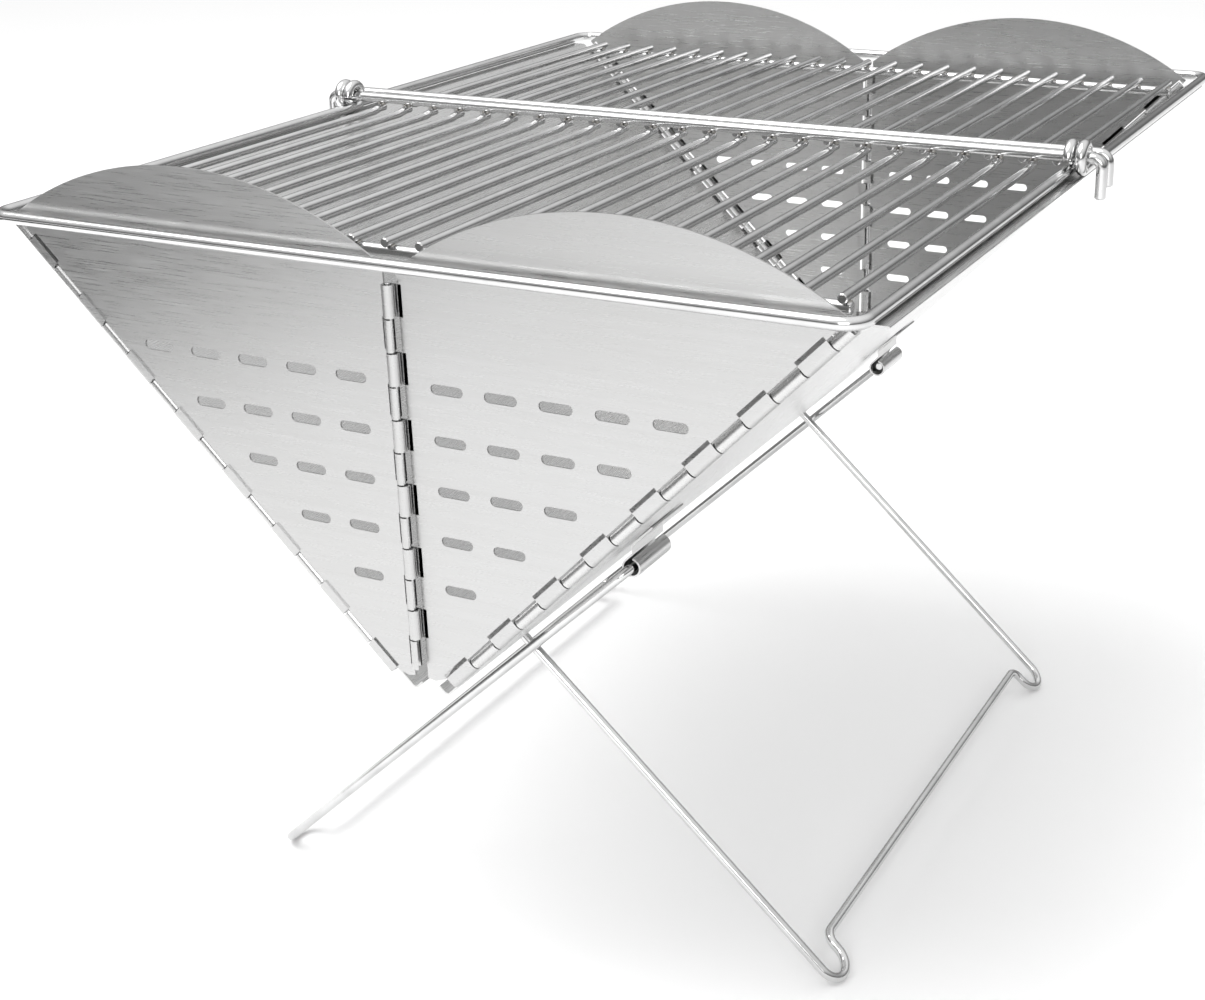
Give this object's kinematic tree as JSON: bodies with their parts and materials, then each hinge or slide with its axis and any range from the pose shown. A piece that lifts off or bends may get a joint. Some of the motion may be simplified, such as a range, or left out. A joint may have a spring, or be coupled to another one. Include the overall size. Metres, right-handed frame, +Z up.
{
  "type": "folding camp grill",
  "caption": "V-shaped sheet-steel fire trough with hinged slotted end leaves, crossed wire legs and a two-part wire grate that folds about a cross rod.",
  "frame": {"origin": "centre of the bounding box's bottom face, on the floor under the trough", "axes": "+X across the trough to the right, +Y along the trough away from the near end, +Z up"},
  "size_m": [0.3722, 0.4562, 0.3309],
  "materials": {
    "sheet": "brushed stainless sheet",
    "clip": "satin strip",
    "pin": "drawn wire",
    "leg_wire": "bright plated wire",
    "frame_wire": "bright plated wire",
    "grid_wire": "bright plated wire"
  },
  "bodies": {
    "trough": {"side_panel_left": "sheet", "side_panel_right": "sheet", "keel_hinge_pin": "pin", "corner_pin_near_left": "pin", "corner_pin_near_right": "pin", "corner_pin_far_left": "pin", "corner_pin_far_right": "pin", "leg_clip_near_left": "clip", "leg_clip_near_right": "clip", "leg_clip_far_left": "clip", "leg_clip_far_right": "clip"},
    "grate_far": {"far_grid": "grid_wire", "far_frame": "frame_wire", "grate_stop_bar": "frame_wire"},
    "grate_near": {"near_grid": "grid_wire", "near_frame": "frame_wire", "grate_hinge_rod": "frame_wire"},
    "leg_wide": {"leg_wide": "leg_wire"},
    "leg_narrow": {"leg_narrow": "leg_wire"},
    "leaf_near_right": {"end_leaf_near_right": "sheet", "centre_pin_near": "pin"},
    "leaf_near_left": {"end_leaf_near_left": "sheet"},
    "leaf_far_right": {"end_leaf_far_right": "sheet", "centre_pin_far": "pin"},
    "leaf_far_left": {"end_leaf_far_left": "sheet"}
  },
  "joints": [
    {"name": "grate_lift", "type": "slide", "parent": "trough", "child": "grate_far", "axis": [0, 0, 1], "range_m": [0, 0.3]},
    {"name": "grate_fold", "type": "hinge", "parent": "grate_far", "child": "grate_near", "pos_m": [0, 0, 0.3116], "axis": [-1, 0, 0], "range_deg": [0, 175]},
    {"name": "wide_leg_fold", "type": "hinge", "parent": "trough", "child": "leg_wide", "pos_m": [0.047, 0, 0.1706], "axis": [0, -1, 0], "range_deg": [0, 172]},
    {"name": "narrow_leg_fold", "type": "hinge", "parent": "trough", "child": "leg_narrow", "pos_m": [-0.047, 0, 0.1706], "axis": [0, 1, 0], "range_deg": [0, 60]},
    {"name": "leaf_near_left_fold", "type": "hinge", "parent": "trough", "child": "leaf_near_left", "pos_m": [-0.08316, -0.2176, 0.21955], "axis": [-0.7071, 0, 0.7071], "range_deg": [0, 85]},
    {"name": "leaf_near_right_fold", "type": "hinge", "parent": "trough", "child": "leaf_near_right", "pos_m": [0.08316, -0.2176, 0.21955], "axis": [-0.7071, 0, -0.7071], "range_deg": [0, 85]},
    {"name": "leaf_far_left_fold", "type": "hinge", "parent": "trough", "child": "leaf_far_left", "pos_m": [-0.08316, 0.2176, 0.21955], "axis": [0.7071, 0, -0.7071], "range_deg": [0, 85]},
    {"name": "leaf_far_right_fold", "type": "hinge", "parent": "trough", "child": "leaf_far_right", "pos_m": [0.08316, 0.2176, 0.21955], "axis": [0.7071, 0, 0.7071], "range_deg": [0, 85]}
  ],
  "couplings": [
    {"joint": "leaf_near_left_fold", "follows": "grate_lift", "rad_per_m": 4.94},
    {"joint": "leaf_near_right_fold", "follows": "grate_lift", "rad_per_m": 4.94},
    {"joint": "leaf_far_left_fold", "follows": "grate_lift", "rad_per_m": 4.94},
    {"joint": "leaf_far_right_fold", "follows": "grate_lift", "rad_per_m": 4.94}
  ]
}
